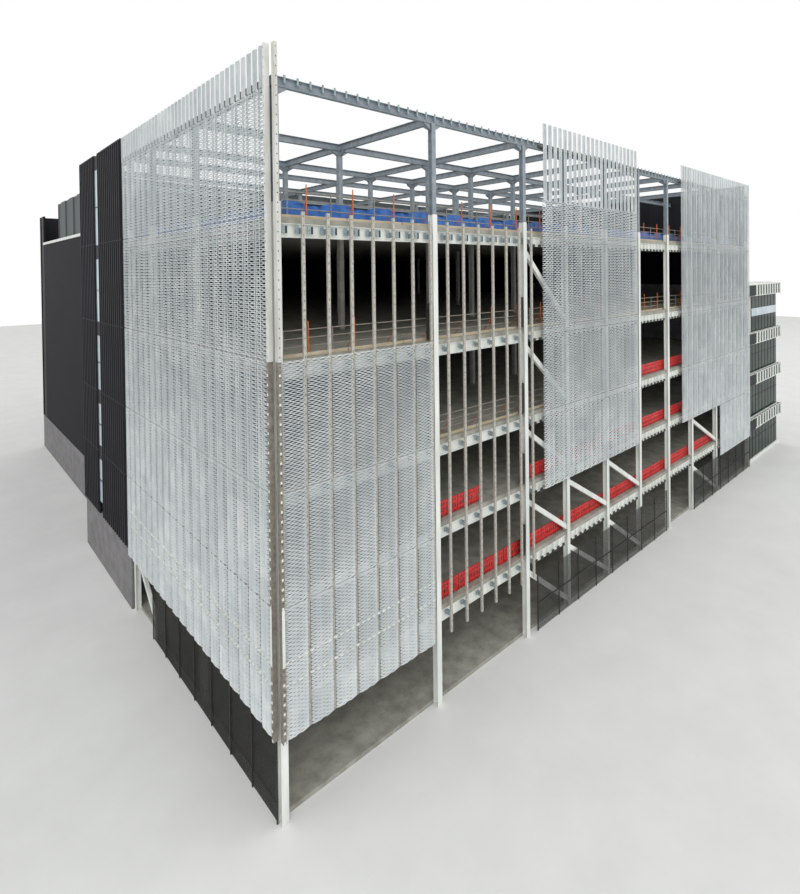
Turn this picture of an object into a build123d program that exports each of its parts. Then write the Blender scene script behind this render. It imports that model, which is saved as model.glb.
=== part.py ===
from build123d import *
import math
import os

# A data centre whose steel frame is up and whose cladding is half hung, as a 1:10 scale model.
# Sizes are those of the model: 100 mm here is one metre of the real building.

# Column bays. The front runs along X from the near corner, the side runs back along Y from it.
front_bays = [1090, 940, 560, 650, 640, 660, 630, 750, 1200]
front_block_bays = [980, 800, 540, 750, 760]
rear_block_bays = [1345, 1345, 1345]
office_length = 1560
office_depth = 3880
side_set_back = 265
wall_thickness = 30

# Storeys, from the top of one floor to the top of the next.
ground_slab_thickness = 25
storey_heights = [580, 525, 520, 630, 705]
floor_thickness = 30
movement_joint = 3

# White frame: H columns, I edge beams under the floor edges, and flat braces.
column_width = 40
column_plate = 3
inner_column_width = 36
edge_beam_depth = 70
edge_beam_width = 25
brace_width = 36
brace_depth = 24
brace_clearance = 2
braced_storeys = {2: 5, 3: 2, 4: 2, 7: 2}

# Grey frame on the roof deck.
stub_height = 75
frame_height = 685
frame_column_width = 34
frame_beam_depth = 50
frame_beam_width = 28
frame_plate = 3.5
near_spans = 2

# Open cladding: rails, folded mesh sheets hung on them, and free strips over the sheets.
cladding_zone = 34
mesh_depth = 16
sheet_thickness = 2.5
front_rail_pitch = 150
first_front_rail = 190
side_rail_pitch = 126.5
panel_pitch = 142.5
rail_width = 17
rail_depth = 12
rail_plate = 2
rail_rise = 30
bare_rail_lead = 80
corner_gap = 24
corner_rail_width = 22
corner_rail_depth = 28
bracket_width = 10
bracket_height = 30
carrier_height = 16
panel_joint = 6
joint_drops = [50, 10, 0, -10]
mesh_foot_drop = 178
upper_mesh_drop = 85
strip_rise = 145
strip_width = 45
side_mesh_length = 2400
centre_mesh_offset = 191
centre_mesh_length = 1567.5
centre_mesh_rise = 255
right_mesh_offset = 281
right_mesh_length = 2280
right_low_length = 1140

column_half = column_width / 2
corner_column = cladding_zone + column_half
slab_edge = cladding_zone + column_width


def running(start, steps):
    places = [start]
    for step in steps:
        places.append(places[-1] + step)
    return places


front_lines = running(corner_column, front_bays)
front_block_lines = running(corner_column, front_block_bays)
rear_block_lines = running(front_block_lines[-1], rear_block_bays)
levels = running(ground_slab_thickness, storey_heights)
deck_top = levels[-1]
stub_top = deck_top + stub_height
frame_top = deck_top + frame_height
beam_foot = frame_top - frame_beam_depth
strip_top = frame_top + strip_rise

main_right = front_lines[-1] + column_half
rear_start = front_block_lines[-1] + column_half
overall_depth = rear_block_lines[-1] + column_half + wall_thickness
overall_length = main_right + office_length
mid_u = overall_length / 2
mid_v = overall_depth / 2
print("overall", overall_length, overall_depth, strip_top)


def plan_at(height):
    return Plane(origin=(-mid_u, -mid_v, height))


def front_at(depth):
    return Plane(origin=(-mid_u, depth - mid_v, 0), x_dir=(1, 0, 0), z_dir=(0, -1, 0))


def side_at(distance):
    return Plane(origin=(distance - mid_u, -mid_v, 0), x_dir=(0, 1, 0), z_dir=(1, 0, 0))


def rectangle_between(low_x, high_x, low_y, high_y):
    with Locations(((low_x + high_x) / 2, (low_y + high_y) / 2)):
        Rectangle(high_x - low_x, high_y - low_y)


def along_front(x, y):
    return (x, y)


def along_side(x, y):
    return (y, x)


def keep(piece, name):
    piece.part.label = name
    export_step(piece.part, "parts/" + name + ".step")


os.makedirs("parts", exist_ok=True)

# Floors: a front slab and a rear slab with a movement joint between them.
rear_left = side_set_back + wall_thickness
rear_end = overall_depth - wall_thickness
slab_right = main_right - wall_thickness
beam_face = slab_edge - edge_beam_width


def floor_outlines():
    rectangle_between(slab_edge, slab_right, slab_edge, rear_start - movement_joint / 2)
    rectangle_between(rear_left, slab_right, rear_start + movement_joint / 2, rear_end)


# Between the columns the upper floors reach out over the edge beams.
def floor_edges():
    for left, right in zip(front_lines[:-1], front_lines[1:]):
        rectangle_between(left + column_half, right - column_half, beam_face, slab_edge)
    for near, far in zip(front_block_lines[:-1], front_block_lines[1:]):
        rectangle_between(beam_face, slab_edge, near + column_half, far - column_half)


with BuildPart() as ground_slab:
    with BuildSketch(plan_at(0)):
        floor_outlines()
    extrude(amount=ground_slab_thickness)
keep(ground_slab, "ground_slab")


def upper_floor(top):
    with BuildPart() as floor:
        with BuildSketch(plan_at(top - floor_thickness)):
            floor_outlines()
            floor_edges()
        extrude(amount=floor_thickness)
    return floor


for number, level in enumerate(levels[1:-1], start=1):
    keep(upper_floor(level), "floor_" + str(number))
keep(upper_floor(deck_top), "roof_deck")


# Rolled H section about the origin, with its flanges across the second axis.
def h_section(width, depth, plate):
    side = width / 2
    end = depth / 2
    web = plate / 2
    quarter = [(side, end), (side, end - plate), (web, end - plate)]
    mirrored = [(x, -y) for x, y in reversed(quarter)]
    right = quarter + mirrored
    return right + [(-x, -y) for x, y in right]


def turned(outline):
    return [(y, x) for x, y in outline]


# White columns in the front and side faces run past the floors to a stub above the deck.
column_outline = h_section(column_width, column_width, column_plate)
with BuildPart() as front_columns:
    with BuildSketch(plan_at(0)):
        with Locations(*[(u, corner_column) for u in front_lines]):
            Polygon(*column_outline, align=None)
    extrude(amount=stub_top)
keep(front_columns, "front_columns")

with BuildPart() as side_columns:
    with BuildSketch(plan_at(0)):
        with Locations(*[(corner_column, v) for v in front_block_lines[1:-1]]):
            Polygon(*turned(column_outline), align=None)
    extrude(amount=stub_top)
keep(side_columns, "side_columns")

# Columns inside stand on each floor and reach the slab above.
inner_points = [(u, front_block_lines[1]) for u in front_lines[1:-1]]
inner_points += [(u, v) for u in front_lines[2:-1:3] for v in (front_block_lines[3], rear_block_lines[1])]
with BuildPart() as inner_columns:
    for low, high in zip(levels[:-1], levels[1:]):
        with BuildSketch(plan_at(low)):
            with Locations(*inner_points):
                Rectangle(inner_column_width, inner_column_width)
        extrude(amount=high - floor_thickness - low)
keep(inner_columns, "inner_columns")

# White I beams between the columns carry the floor edges, one set on each level.
edge_beam_outline = h_section(edge_beam_width, edge_beam_depth, column_plate)
edge_beam_middle = beam_face + edge_beam_width / 2
edge_beam_heights = [level - floor_thickness - edge_beam_depth / 2 for level in levels[1:]]
with BuildPart() as front_edge_beams:
    for left, right in zip(front_lines[:-1], front_lines[1:]):
        with BuildSketch(side_at(left + column_half)):
            with Locations(*[(edge_beam_middle, height) for height in edge_beam_heights]):
                Polygon(*edge_beam_outline, align=None)
        extrude(amount=right - left - column_width)
keep(front_edge_beams, "front_edge_beams")

with BuildPart() as side_edge_beams:
    for near, far in zip(front_block_lines[:-1], front_block_lines[1:]):
        with BuildSketch(front_at(far - column_half)):
            with Locations(*[(edge_beam_middle, height) for height in edge_beam_heights]):
                Polygon(*edge_beam_outline, align=None)
        extrude(amount=far - near - column_width)
keep(side_edge_beams, "side_edge_beams")


# A brace runs from the foot of one column's web to the head of the next one's.
def brace_between(foot_line, head_line, storey):
    step = math.copysign(column_plate / 2, head_line - foot_line)
    start = foot_line + step
    end = head_line - step
    low = levels[storey] + brace_clearance
    high = levels[storey + 1] - floor_thickness - edge_beam_depth - brace_clearance
    cut = brace_width * math.hypot(1, (high - low - brace_width) / (end - start))
    Polygon((end, high), (end, high - cut), (start, low), (start, low + cut), align=None)


with BuildPart() as front_braces:
    with BuildSketch(front_at(corner_column + brace_depth / 2)):
        for bay, storeys in braced_storeys.items():
            for storey in range(storeys):
                brace_between(front_lines[bay + 1], front_lines[bay], storey)
    extrude(amount=brace_depth)
keep(front_braces, "front_braces")

# The opening at the foot of the side shows a brace behind it.
with BuildPart() as side_brace:
    with BuildSketch(side_at(corner_column - brace_depth / 2)):
        brace_between(front_block_lines[2], front_block_lines[3], 0)
    extrude(amount=brace_depth)
keep(side_brace, "side_brace")

# Roof frame: H columns on the stubs and square ones on the deck.
frame_half = frame_beam_width / 2
frame_column_outline = h_section(frame_column_width, frame_column_width, frame_plate)
deck_columns = [(u, v) for u in front_lines[1:-1] for v in front_block_lines[1:3]]
deck_columns += [(u, v) for u in front_lines[2:-1:3] for v in front_block_lines[3:-1]]
deck_columns += [(u, front_block_lines[-1]) for u in front_lines[:-1:2]]
with BuildPart() as roof_frame_columns:
    with BuildSketch(plan_at(stub_top)):
        with Locations(*[(u, corner_column) for u in front_lines]):
            Polygon(*frame_column_outline, align=None)
        with Locations(*[(corner_column, v) for v in front_block_lines[1:-1]]):
            Polygon(*turned(frame_column_outline), align=None)
    extrude(amount=beam_foot - stub_top)
    with BuildSketch(plan_at(deck_top)):
        with Locations(*deck_columns):
            Rectangle(frame_column_width, frame_column_width)
    extrude(amount=beam_foot - deck_top)
keep(roof_frame_columns, "roof_frame_columns")

# I beams lie on the columns along the building. Cross beams sit between them, closer set at the front.
beam_outline = h_section(frame_beam_width, frame_beam_depth, frame_plate)
beam_middle = beam_foot + frame_beam_depth / 2
with BuildPart() as roof_long_beams:
    with BuildSketch(side_at(corner_column - frame_half)):
        with Locations(*[(v, beam_middle) for v in front_block_lines]):
            Polygon(*beam_outline, align=None)
    extrude(amount=slab_right - corner_column + frame_half)
keep(roof_long_beams, "roof_long_beams")

spans = list(zip(front_block_lines[:-1], front_block_lines[1:]))
cross_rows = [(span, front_lines[:-1]) for span in spans[:near_spans]]
cross_rows += [(span, front_lines[:-1:2]) for span in spans[near_spans:]]
with BuildPart() as roof_cross_beams:
    for (near, far), cross_lines in cross_rows:
        with BuildSketch(front_at(far - frame_half)):
            with Locations(*[(u, beam_middle) for u in cross_lines]):
                Polygon(*beam_outline, align=None)
        extrude(amount=far - near - frame_beam_width)
keep(roof_cross_beams, "roof_cross_beams")

mesh_foot = levels[1] - mesh_foot_drop
upper_mesh_foot = levels[2] - upper_mesh_drop
panel_joints = [level - drop for level, drop in zip(levels[2:], joint_drops)]


# Channel section that is open at its back, with its web at the front.
def channel_outline(width, depth, plate):
    side = width / 2
    right = [(side, 0), (side, depth), (side - plate, depth), (side - plate, plate)]
    return right + [(-x, y) for x, y in reversed(right)]


# Bare rails on the first two bays, where only the near bay has its mesh so far.
rails_end = front_lines[2] + bare_rail_lead
rail_count = int((rails_end - first_front_rail) / front_rail_pitch) + 1
front_rail_places = [first_front_rail + front_rail_pitch * index for index in range(rail_count)]
rail_outline = channel_outline(rail_width, rail_depth, rail_plate)
with BuildPart() as front_rails:
    with BuildSketch(plan_at(mesh_foot)):
        with Locations(*[(u, mesh_depth) for u in front_rail_places]):
            Polygon(*rail_outline, align=None)
    extrude(amount=deck_top + rail_rise - mesh_foot)
keep(front_rails, "front_rails")

# A cleat reaches from the web of each edge beam into the channel of each rail.
beam_web_face = edge_beam_middle - column_plate / 2
bracket_half = bracket_width / 2
bracket_start = mesh_depth + rail_plate
with BuildPart() as rail_brackets:
    for height in edge_beam_heights:
        with BuildSketch(plan_at(height - bracket_height / 2)):
            for u in front_rail_places:
                rectangle_between(u - bracket_half, u + bracket_half, bracket_start, beam_web_face)
        extrude(amount=bracket_height)
keep(rail_brackets, "rail_brackets")

# Corner rails: one channel on each face, with a gap that shows the corner column.
corner_outline = channel_outline(corner_rail_width, corner_rail_depth, rail_plate)
bay_start = corner_gap + corner_rail_width
side_start = corner_gap + mesh_depth + corner_rail_width
with BuildPart() as corner_rails:
    with BuildSketch(plan_at(mesh_foot)):
        with Locations((bay_start - corner_rail_width / 2, 0)):
            Polygon(*corner_outline, align=None)
        with Locations((0, side_start - corner_rail_width / 2)):
            Polygon(*turned(corner_outline), align=None)
    extrude(amount=strip_top - mesh_foot)
keep(corner_rails, "corner_rails")


# A folded mesh sheet goes back to each rail and stands forward half way between two rails.
def folded_outline(start, end, lines):
    inside = [line for line in lines if start < line < end]
    front = [(start, 0)]
    for line in inside[:-1]:
        front += [(line, mesh_depth - sheet_thickness), (line + (inside[1] - inside[0]) / 2, 0)]
    front += [(inside[-1], mesh_depth - sheet_thickness), (end, 0)]
    return front + [(x, y + sheet_thickness) for x, y in reversed(front)]


# Each row gives the start of its sheet, its foot and its top.
def hang_sheets(rows, end, lines, turn):
    with BuildPart() as sheets:
        for start, low, high in rows:
            with BuildSketch(plan_at(low)):
                Polygon(*[turn(x, y) for x, y in folded_outline(start, end, lines)], align=None)
            extrude(amount=high - low)
    return sheets


def rows_between(start, foot, top, joints):
    stops = [foot] + [joint for joint in joints if foot < joint < top] + [top]
    gap = panel_joint / 2
    return [(start, low + gap, high - gap) for low, high in zip(stops[:-1], stops[1:])]


def lines_from(start, pitch, length):
    return [start + pitch * index for index in range(round(length / pitch) + 1)]


side_lines = lines_from(side_start, side_rail_pitch, side_mesh_length)
side_mesh_end = side_lines[-1]
side_rows = rows_between(side_start, mesh_foot, beam_foot - panel_joint, panel_joints)
keep(hang_sheets(side_rows, side_mesh_end, side_lines, along_side), "side_mesh")

bay_end = front_lines[1] - column_half
bay_rows = rows_between(bay_start, mesh_foot, levels[-2], panel_joints)
keep(hang_sheets(bay_rows, bay_end, front_rail_places, along_front), "bay_mesh")

centre_start = front_lines[2] + centre_mesh_offset
centre_lines = lines_from(centre_start, panel_pitch, centre_mesh_length)
centre_end = centre_lines[-1]
centre_rows = rows_between(centre_start, upper_mesh_foot, deck_top + centre_mesh_rise, panel_joints[1:])
keep(hang_sheets(centre_rows, centre_end, centre_lines, along_front), "centre_mesh")

# The right sheet is closed to its top and reaches lower over the far half.
right_start = front_lines[6] + right_mesh_offset
right_lines = lines_from(right_start, panel_pitch, right_mesh_length)
right_end = right_lines[-1]
right_rows = rows_between(right_start, upper_mesh_foot, strip_top, panel_joints[1:])
right_rows += rows_between(right_end - right_low_length, mesh_foot, upper_mesh_foot, [])
keep(hang_sheets(right_rows, right_end, right_lines, along_front), "right_mesh")


# Free strips stand above the mesh, two to each sheet bay.
def strip_row(lines, pitch, foot, turn):
    step = pitch / 2
    count = round((lines[-1] - lines[0]) / step)
    places = [lines[0] + step * (index + 0.5) for index in range(count)]
    wide, deep = turn(strip_width, mesh_depth)
    with BuildPart() as strips:
        with BuildSketch(plan_at(foot)):
            with Locations(*[turn(x, mesh_depth / 2) for x in places]):
                Rectangle(wide, deep)
        extrude(amount=strip_top - foot)
    return strips


keep(strip_row(side_lines, side_rail_pitch, side_rows[-1][2], along_side), "side_strips")
keep(strip_row(centre_lines, panel_pitch, centre_rows[-1][2], along_front), "centre_strips")

# Carriers hold the sheets off the columns, off the ends of the roof beams and off the front beam's web.
beam_web = corner_column - frame_plate / 2
beam_end = corner_column - frame_half
upper_runs = [(centre_start, centre_end), (right_start, right_end)]
low_carrier_start = front_lines[-2]
carriers = [(edge_beam_heights[0], cladding_zone, cladding_zone, [(low_carrier_start, right_end)])]
carriers += [(height, cladding_zone, cladding_zone, upper_runs) for height in edge_beam_heights[1:]]
carriers.append((beam_middle, beam_end, beam_web, upper_runs))
with BuildPart() as mesh_carriers:
    for height, side_back, front_back, front_runs in carriers:
        with BuildSketch(plan_at(height - carrier_height / 2)):
            rectangle_between(mesh_depth, side_back, side_start, side_mesh_end)
            for start, end in front_runs:
                rectangle_between(start, end, mesh_depth, front_back)
        extrude(amount=carrier_height)
keep(mesh_carriers, "mesh_carriers")

# Black mesh screens with posts at ground level, on the side and on the front.
screen_top = 420
black_thickness = 6
black_post = 6
black_post_pitch = 275
black_rail_height = 205
side_black_rise = 76
front_black_start = front_lines[2] + 106
front_black_end = front_lines[6] - 94
second_black_start = front_lines[7] + 6
black_line = cladding_zone - black_thickness


def black_screen(start, end, turn):
    corners = [(start, black_line), (end, black_line), (end, cladding_zone), (start, cladding_zone)]
    Polygon(*[turn(x, y) for x, y in corners], align=None)
    bays = round((end - start - black_post) / black_post_pitch)
    wide, deep = turn(black_post, black_post)
    step = (end - start - black_post) / bays
    places = [start + black_post / 2 + step * index for index in range(bays + 1)]
    with Locations(*[turn(x, black_line - black_post / 2) for x in places]):
        Rectangle(wide, deep)


with BuildPart() as side_black_mesh:
    with BuildSketch(plan_at(0)):
        black_screen(side_start, front_block_lines[2] + side_black_rise, along_side)
    extrude(amount=screen_top)
keep(side_black_mesh, "side_black_mesh")

with BuildPart() as front_black_mesh:
    with BuildSketch(plan_at(0)):
        black_screen(front_black_start, front_black_end, along_front)
        black_screen(second_black_start, main_right, along_front)
    extrude(amount=screen_top)
    with BuildSketch(plan_at(black_rail_height)):
        rectangle_between(front_black_start, front_black_end, black_line - black_post, black_line)
        rectangle_between(second_black_start, main_right, black_line - black_post, black_line)
    extrude(amount=black_post)
keep(front_black_mesh, "front_black_mesh")

# Dark ribbed cladding of the tall part beyond the mesh, either side of a glazed slot, on a plinth.
dark_rib_pitch = 125
rib_depth = 13
dark_before_slot = 738
slot_width = 125
dark_foot = levels[1] - 120
plinth_lead = 65
glass_thickness = 6
tall_dark_start = side_mesh_end + panel_joint
slot_start = tall_dark_start + dark_before_slot
slot_end = slot_start + slot_width


# Ribs stand at the outer face, and the pans between them lie back by the rib's depth.
def ribbed_outline(start, end, depth, rib, pitch):
    count = max(1, round((end - start) / pitch))
    step = (end - start) / count
    points = [(start, depth), (start, 0)]
    for index in range(1, count + 1):
        line = start + step * index
        points += [(line - step / 2, 0), (line - step / 2 + rib, rib), (line - rib, rib), (line, 0)]
    points.append((end, depth))
    return points


def ribbed_wall(runs, low, high, pitch, turn):
    with BuildPart() as wall:
        with BuildSketch(plan_at(low)):
            for start, end in runs:
                outline = ribbed_outline(start, end, wall_thickness, rib_depth, pitch)
                Polygon(*[turn(x, y) for x, y in outline], align=None)
        extrude(amount=high - low)
    return wall


tall_runs = [(tall_dark_start, slot_start), (slot_end, rear_start)]
keep(ribbed_wall(tall_runs, dark_foot, strip_top, dark_rib_pitch, along_side), "tall_dark_cladding")

with BuildPart() as slot_glass:
    with BuildSketch(plan_at(dark_foot)):
        rectangle_between(wall_thickness - glass_thickness, wall_thickness, slot_start, slot_end)
    extrude(amount=strip_top - dark_foot)
keep(slot_glass, "slot_glass")

with BuildPart() as side_plinth:
    with BuildSketch(plan_at(0)):
        rectangle_between(mesh_depth, cladding_zone, tall_dark_start - plinth_lead, rear_start)
    extrude(amount=dark_foot)
keep(side_plinth, "side_plinth")

# Low rear block: plinth, ribbed walls, white coping, plant screen and a raised back wall.
parapet_height = 235
coping_height = 35
coping_overhang = 10
raised_wall_rise = 645
rear_plinth_top = levels[1] - 105
end_return = 300
hidden_rib_pitch = 360
coping_top = deck_top + parapet_height
raised_top = deck_top + raised_wall_rise
rear_wall_top = coping_top - coping_height
end_wall_start = overall_depth - end_return


def along_low_side(x, y):
    return (side_set_back + y, x)


def along_back(x, y):
    return (x, overall_depth - y)


def along_right(x, y):
    return (main_right - y, x)


with BuildPart() as rear_plinth:
    with BuildSketch(plan_at(0)):
        rectangle_between(side_set_back, rear_left, rear_start, rear_end)
        rectangle_between(rear_left + movement_joint, slab_right - movement_joint, rear_end, overall_depth)
        rectangle_between(slab_right, main_right, rear_start, rear_end)
    extrude(amount=rear_plinth_top)
keep(rear_plinth, "rear_plinth")

side_run = [(rear_start, end_wall_start)]
return_run = [(end_wall_start, rear_end)]
back_run = [(side_set_back, main_right)]
right_run = [(rear_start, rear_end)]
rear_side = ribbed_wall(side_run, rear_plinth_top, rear_wall_top, 2 * dark_rib_pitch, along_low_side)
keep(rear_side, "rear_side_wall")
end_return_wall = ribbed_wall(return_run, rear_plinth_top, raised_top, 2 * dark_rib_pitch, along_low_side)
keep(end_return_wall, "end_return_wall")
back_wall = ribbed_wall(back_run, rear_plinth_top, raised_top, hidden_rib_pitch, along_back)
keep(back_wall, "back_wall")
right_rear = ribbed_wall(right_run, rear_plinth_top, rear_wall_top, hidden_rib_pitch, along_right)
keep(right_rear, "right_rear_wall")

# The tall part steps back to the low block with a narrow return.
with BuildPart() as tall_return_wall:
    with BuildSketch(plan_at(0)):
        rectangle_between(wall_thickness, side_set_back, rear_start, rear_start + wall_thickness)
    extrude(amount=strip_top)
keep(tall_return_wall, "tall_return_wall")

# Beside the office the main block has a plain wall, and ribbed cladding above the office roof.
office_base = 30
office_storeys = [580, 620, 570, 670]
office_levels = running(office_base, office_storeys)
office_roof_top = office_levels[-1]
with BuildPart() as party_wall:
    with BuildSketch(plan_at(0)):
        rectangle_between(slab_right, main_right, slab_edge, rear_start)
    extrude(amount=office_roof_top)
keep(party_wall, "party_wall")
upper_run = [(slab_edge, rear_start)]
right_upper = ribbed_wall(upper_run, office_roof_top, strip_top, hidden_rib_pitch, along_right)
keep(right_upper, "right_upper_wall")

with BuildPart() as copings:
    with BuildSketch(plan_at(rear_wall_top)):
        coping_start = rear_start + wall_thickness
        rectangle_between(side_set_back - coping_overhang, rear_left, coping_start, end_wall_start)
        rectangle_between(slab_right, main_right + coping_overhang, rear_start, rear_end)
    extrude(amount=coping_height)
keep(copings, "copings")

# Plant screen: four ribbed walls that stand on the roof of the low block.
screen_gap = 25
screen_rib_pitch = 480
screen_length = 2900
plant_screen_rise = 755
screen_left = rear_left + screen_gap
screen_right = slab_right - screen_gap
screen_start = rear_start + screen_gap
screen_end = screen_start + screen_length
short_left = screen_left + wall_thickness + movement_joint
short_right = screen_right - wall_thickness - movement_joint
with BuildPart() as plant_screen:
    with BuildSketch(plan_at(deck_top)):
        long_wall = ribbed_outline(screen_start, screen_end, wall_thickness, rib_depth, screen_rib_pitch)
        Polygon(*[(screen_left + y, x) for x, y in long_wall], align=None)
        Polygon(*[(screen_right - y, x) for x, y in long_wall], align=None)
        short_wall = ribbed_outline(short_left, short_right, wall_thickness, rib_depth, screen_rib_pitch)
        Polygon(*[(x, screen_end - y) for x, y in short_wall], align=None)
        Polygon(*[(x, screen_start + y) for x, y in short_wall], align=None)
    extrude(amount=plant_screen_rise)
keep(plant_screen, "plant_screen")

# Office block: slabs, columns, glass between the slabs and bands of white fins on the floor edges.
office_slab = 35
fin_depth = 35
fin_band_height = 160
fin_pitch = 195
glass_set_back = 15
office_column_inset = 200
office_column_bay = 780
office_rows = 5
office_front = cladding_zone
office_back = office_front + office_depth
office_edge = overall_length - fin_depth
with BuildPart() as office_floors:
    for level in office_levels:
        foot = max(0, level - office_slab)
        with BuildSketch(plan_at(foot)):
            rectangle_between(main_right, office_edge, office_front + fin_depth, office_back - fin_depth)
        extrude(amount=level - foot)
keep(office_floors, "office_floors")

glass_front = office_front + fin_depth + glass_set_back
glass_back = office_back - fin_depth - glass_set_back
glass_right = office_edge - glass_set_back
inner_right = glass_right - glass_thickness
inner_front = glass_front + glass_thickness
inner_back = glass_back - glass_thickness
side_glass_start = inner_front + movement_joint
side_glass_end = inner_back - movement_joint
with BuildPart() as office_glass:
    for low, high in zip(office_levels[:-1], office_levels[1:]):
        with BuildSketch(plan_at(low)):
            rectangle_between(main_right, glass_right, glass_front, inner_front)
            rectangle_between(main_right, glass_right, inner_back, glass_back)
            rectangle_between(inner_right, glass_right, side_glass_start, side_glass_end)
        extrude(amount=high - office_slab - low)
keep(office_glass, "office_glass")

row_step = (office_depth - 2 * office_column_inset) / (office_rows - 1)
office_row_places = [office_front + office_column_inset + row_step * index for index in range(office_rows)]
outer_columns = overall_length - office_column_inset
with BuildPart() as office_columns:
    for low, high in zip(office_levels[:-1], office_levels[1:]):
        with BuildSketch(plan_at(low)):
            with Locations(*[(outer_columns - office_column_bay, v) for v in office_row_places]):
                Rectangle(column_width, column_width)
            with Locations(*[(outer_columns, v) for v in office_row_places]):
                Rectangle(column_width, column_width)
        extrude(amount=high - office_slab - low)
keep(office_columns, "office_columns")


# Fins fold in and out in front of the slab edge.
def fin_outline(start, end, pitch):
    count = round((end - start) / pitch)
    step = (end - start) / count
    points = [(start, fin_depth)]
    for index in range(count):
        points += [(start + step * index, 0), (start + step * (index + 0.5), fin_depth / 2)]
    return points + [(end, 0), (end, fin_depth)]


with BuildPart() as office_fins:
    for level in office_levels[1:]:
        with BuildSketch(plan_at(level - fin_band_height)):
            short_fins = fin_outline(main_right, office_edge - movement_joint, fin_pitch)
            Polygon(*[(x, office_front + y) for x, y in short_fins], align=None)
            Polygon(*[(x, office_back - y) for x, y in short_fins], align=None)
            long_fins = fin_outline(office_front, office_back, fin_pitch)
            Polygon(*[(overall_length - y, x) for x, y in long_fins], align=None)
        extrude(amount=fin_band_height)
keep(office_fins, "office_fins")

# Edge protection: tube guard rails with timber kickboards on the deck and on the floors below it.
guard_height = 110
guard_tube = 6
guard_post_pitch = 300
guard_set_back = 12
guard_inset = 30
board_height = 30
board_thickness = 5
guard_line = slab_edge + guard_set_back
guard_start = slab_edge + guard_inset
guard_end = slab_right - guard_inset
guard_runs = [
    (levels[3], front_lines[1] + guard_inset, front_lines[3] - guard_inset),
    (levels[4], guard_start, guard_end),
    (deck_top, guard_start, guard_end),
]


def post_places(start, end):
    count = int((end - start - guard_tube) / guard_post_pitch) + 1
    return [start + guard_post_pitch * index for index in range(count)]


with BuildPart() as guard_rails:
    for level, start, end in guard_runs:
        posts = post_places(start, end)
        last = posts[-1] + guard_tube
        middle = level + guard_height / 2
        top = level + guard_height
        with BuildSketch(front_at(guard_line + guard_tube)):
            for post in posts:
                rectangle_between(post, post + guard_tube, level, top)
        extrude(amount=guard_tube)
        with BuildSketch(front_at(guard_line + 2 * guard_tube)):
            rectangle_between(start, last, middle, middle + guard_tube)
            rectangle_between(start, last, top - guard_tube, top)
        extrude(amount=guard_tube)
keep(guard_rails, "guard_rails")

with BuildPart() as kickboards:
    for level, start, end in guard_runs:
        last = post_places(start, end)[-1] + guard_tube
        with BuildSketch(plan_at(level)):
            rectangle_between(start, last, guard_line - board_thickness, guard_line)
        extrude(amount=board_height)
keep(kickboards, "kickboards")

# Red mesh barriers along the open edges of the lower floors.
barrier_length = 230
barrier_pitch = 240
barrier_thickness = 5
short_run = 490
barrier_runs = [
    (levels[1], front_lines[1], front_lines[8]),
    (levels[2], front_lines[1], front_lines[1] + short_run),
    (levels[2], front_lines[2], front_lines[7]),
    (levels[3], front_lines[5], front_lines[7]),
]
with BuildPart() as red_barriers:
    for level, start, end in barrier_runs:
        with BuildSketch(plan_at(level)):
            for index in range(int((end - start) / barrier_pitch)):
                foot = start + barrier_pitch * index
                rectangle_between(foot, foot + barrier_length, guard_line, guard_line + barrier_thickness)
        extrude(amount=guard_height)
keep(red_barriers, "red_barriers")

# Blue netting stands behind the guard rails round the deck.
net_height = 150
net_thickness = 5
net_set_back = 120
net_line = guard_line + net_set_back
net_right = slab_right - net_set_back
net_end = rear_start - net_set_back
side_net_start = net_line + movement_joint
side_net_end = net_end - movement_joint
with BuildPart() as blue_netting:
    with BuildSketch(plan_at(deck_top)):
        rectangle_between(net_line, net_right, net_line - net_thickness, net_line)
        rectangle_between(net_line, net_right, net_end, net_end + net_thickness)
        rectangle_between(net_line, net_line + net_thickness, side_net_start, side_net_end)
    extrude(amount=net_height)
keep(blue_netting, "blue_netting")
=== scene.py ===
import math
import bpy
from mathutils import Matrix, Vector


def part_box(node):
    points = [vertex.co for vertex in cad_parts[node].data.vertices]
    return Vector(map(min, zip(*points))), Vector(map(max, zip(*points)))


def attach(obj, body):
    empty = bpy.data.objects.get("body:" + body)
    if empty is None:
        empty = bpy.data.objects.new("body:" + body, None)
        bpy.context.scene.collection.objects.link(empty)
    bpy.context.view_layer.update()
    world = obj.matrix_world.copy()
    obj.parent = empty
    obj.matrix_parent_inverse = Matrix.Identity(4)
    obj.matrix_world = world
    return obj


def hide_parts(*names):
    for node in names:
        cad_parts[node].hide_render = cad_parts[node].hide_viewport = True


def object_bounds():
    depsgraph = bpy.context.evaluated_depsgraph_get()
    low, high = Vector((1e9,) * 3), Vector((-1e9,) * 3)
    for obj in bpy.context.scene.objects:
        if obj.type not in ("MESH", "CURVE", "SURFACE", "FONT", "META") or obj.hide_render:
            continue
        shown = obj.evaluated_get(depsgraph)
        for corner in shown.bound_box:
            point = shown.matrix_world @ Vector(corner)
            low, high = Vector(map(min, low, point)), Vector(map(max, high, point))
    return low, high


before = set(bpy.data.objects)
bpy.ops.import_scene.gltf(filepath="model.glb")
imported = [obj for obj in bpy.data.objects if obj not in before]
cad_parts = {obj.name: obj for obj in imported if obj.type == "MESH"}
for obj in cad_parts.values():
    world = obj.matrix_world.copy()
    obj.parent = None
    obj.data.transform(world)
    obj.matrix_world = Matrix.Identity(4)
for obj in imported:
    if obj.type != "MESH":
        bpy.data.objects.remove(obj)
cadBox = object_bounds()

# The model is 1:10, so a real metre is a tenth of a metre here.
metre = 0.1
millimetre = metre / 1000
tiny = metre / 1000  # closer than this counts as the same place
cadLow = Vector(cadBox[0])

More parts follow.
